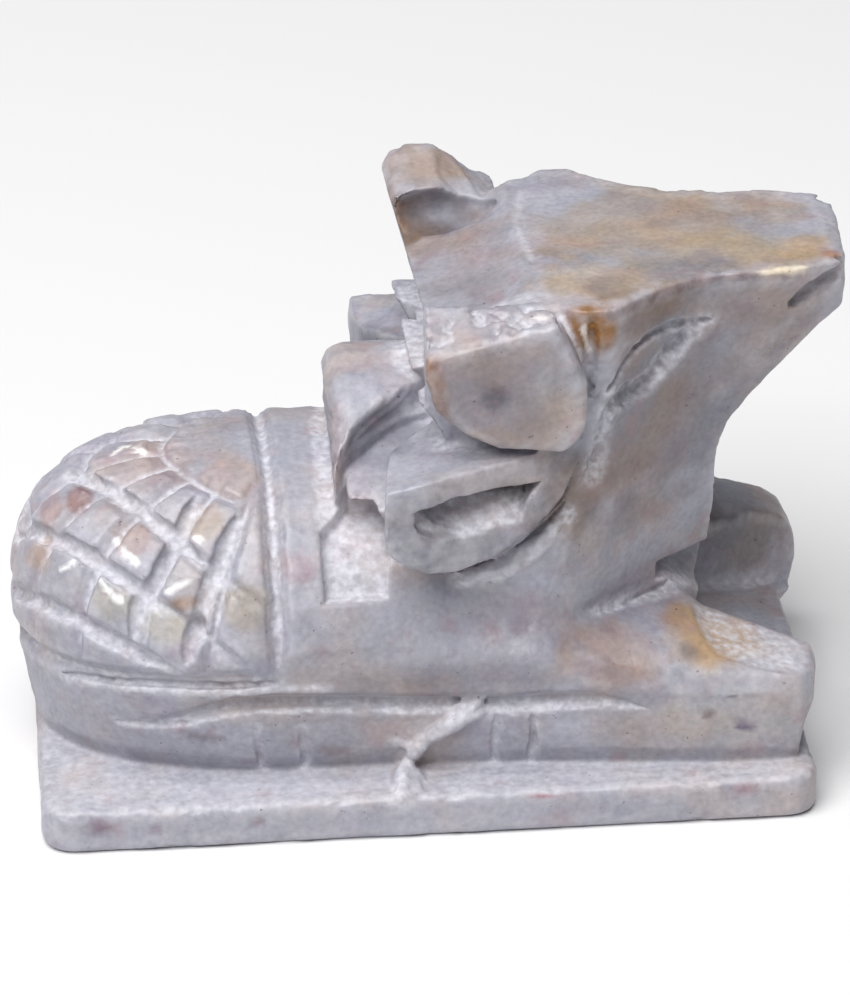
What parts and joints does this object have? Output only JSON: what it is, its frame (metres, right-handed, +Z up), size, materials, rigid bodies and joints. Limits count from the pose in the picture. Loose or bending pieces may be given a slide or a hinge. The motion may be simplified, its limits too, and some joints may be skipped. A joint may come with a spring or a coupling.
{
  "type": "carved stone bull figure",
  "caption": "Small seated bull carved together with its plinth in mottled soapstone: quilted saddle cloth, hump, blunt horns, drooping ears and folded legs.",
  "frame": {"origin": "centre of the plinth's underside", "axes": "+X from the tail to the muzzle, +Y to the bull's left, +Z up"},
  "size_m": [0.0693, 0.0384, 0.0464],
  "materials": {
    "soapstone": "hand rubbed, satin, with rough chisel marks"
  },
  "bodies": {
    "root": {"carved_nandi_bull": "soapstone"}
  },
  "joints": []
}
